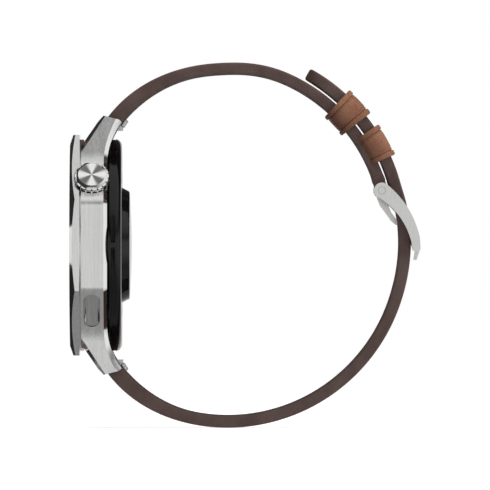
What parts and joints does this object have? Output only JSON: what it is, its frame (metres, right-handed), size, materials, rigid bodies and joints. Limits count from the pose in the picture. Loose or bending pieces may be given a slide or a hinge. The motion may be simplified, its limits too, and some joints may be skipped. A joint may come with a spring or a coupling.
{
  "type": "smartwatch",
  "caption": "Smartwatch with an octagonal steel case, crown and pill button, black sensor back and a buckled brown leather strap with a fixed and a sliding keeper.",
  "frame": {"origin": "middle of the loop that the strap makes round a wrist, in the mid-plane of the watch", "axes": "+X from the display through the case towards the wrist and the buckle, +Y away from the crown side along the wrist, +Z towards 12 o'clock"},
  "size_m": [0.0737, 0.0464, 0.0768],
  "materials": {
    "case_steel": "brushed sides, polished bevels",
    "bezel_steel": "brushed front, polished wall, engraved minute ticks",
    "crown_steel": "polished, radially brushed face",
    "buckle_steel": "satin with polished edges",
    "inner_steel": "plain machined",
    "sapphire": "clear, anti-reflection coated",
    "display": "dark laminated panel",
    "cover_black": "glossy black",
    "sensor_black": "glossy dark tint",
    "leather_brown": "grained, sealed edges",
    "lining_brown": "smooth lining",
    "keeper_brown": "grained with creased edges",
    "seal_rubber": "matt",
    "black_plastic": "moulded",
    "board_green": "solder mask",
    "copper": "enamelled winding",
    "foil": "foil pouch",
    "frame_alloy": "die-cast, satin"
  },
  "bodies": {
    "case": {"bezel_ring": "bezel_steel", "front_glass": "sapphire", "glass_gasket": "seal_rubber", "display_panel": "display", "display_flex": "copper", "mid_case": "case_steel", "back_cover": "cover_black", "back_gasket": "seal_rubber", "speaker_mesh": "inner_steel", "microphone_mesh": "inner_steel", "sensor_window": "sensor_black", "sensor_board": "board_green", "light_baffle": "black_plastic", "photodiodes": "display", "sensor_leds": "black_plastic", "charging_coil": "copper", "ferrite_sheet": "black_plastic", "back_screws": "inner_steel", "inner_frame": "frame_alloy", "main_board": "board_green", "board_shield": "inner_steel", "battery": "foil", "haptic_motor": "inner_steel", "speaker_module": "black_plastic", "microphone": "inner_steel", "antenna_ring": "black_plastic", "crown_tube": "inner_steel", "crown_switch": "black_plastic", "crown_sensor": "black_plastic", "button_switch": "black_plastic", "upper_strap": "leather_brown", "upper_lining": "lining_brown", "lower_strap": "leather_brown", "lower_lining": "lining_brown", "fixed_keeper": "keeper_brown", "upper_bar_tube": "inner_steel", "upper_bar_spring": "inner_steel", "lower_bar_tube": "inner_steel", "lower_bar_spring": "inner_steel", "buckle_bar": "inner_steel"},
    "crown_slide": {"crown_plunger": "inner_steel"},
    "crown": {"crown_cap": "crown_steel", "crown_shaft": "inner_steel", "crown_seals": "seal_rubber", "crown_clip": "inner_steel"},
    "button": {"button_cap": "case_steel", "button_stem": "inner_steel", "button_seal": "seal_rubber", "button_clip": "inner_steel"},
    "upper_release": {"upper_release_tip": "inner_steel"},
    "lower_release": {"lower_release_tip": "inner_steel"},
    "buckle": {"buckle_frame": "buckle_steel"},
    "tongue": {"buckle_tongue": "buckle_steel"},
    "keeper": {"free_keeper": "keeper_brown"}
  },
  "joints": [
    {"name": "crown_press", "type": "slide", "parent": "case", "child": "crown_slide", "axis": [0, 0.809, -0.5878], "range_m": [0, 0.0004], "stiffness_N_per_m": 4000, "springref_m": -0.0003},
    {"name": "crown_turn", "type": "hinge", "parent": "crown_slide", "child": "crown", "pos_m": [-0.0284, 0, 0], "axis": [0, -0.809, 0.5878], "continuous": true},
    {"name": "button_press", "type": "slide", "parent": "case", "child": "button", "axis": [0, 0.809, 0.5878], "range_m": [0, 0.0004], "stiffness_N_per_m": 4000, "springref_m": -0.0003},
    {"name": "upper_release_slide", "type": "slide", "parent": "case", "child": "upper_release", "axis": [0, 1, 0], "range_m": [0, 0.0013], "stiffness_N_per_m": 800, "springref_m": -0.001},
    {"name": "lower_release_slide", "type": "slide", "parent": "case", "child": "lower_release", "axis": [0, 1, 0], "range_m": [0, 0.0013], "stiffness_N_per_m": 800, "springref_m": -0.001},
    {"name": "buckle_hinge", "type": "hinge", "parent": "case", "child": "buckle", "pos_m": [0.0324, 0, 0.0115], "axis": [0, 1, 0], "range_deg": [-2.5, 0]},
    {"name": "tongue_hinge", "type": "hinge", "parent": "buckle", "child": "tongue", "pos_m": [0.0324, 0, 0.0115], "axis": [0, 1, 0], "range_deg": [-1.2, 0]},
    {"name": "keeper_slide", "type": "hinge", "parent": "case", "child": "keeper", "pos_m": [-0.0021, 0, 0.0023], "axis": [0, -1, 0], "range_deg": [-3.5, 12.5]}
  ]
}
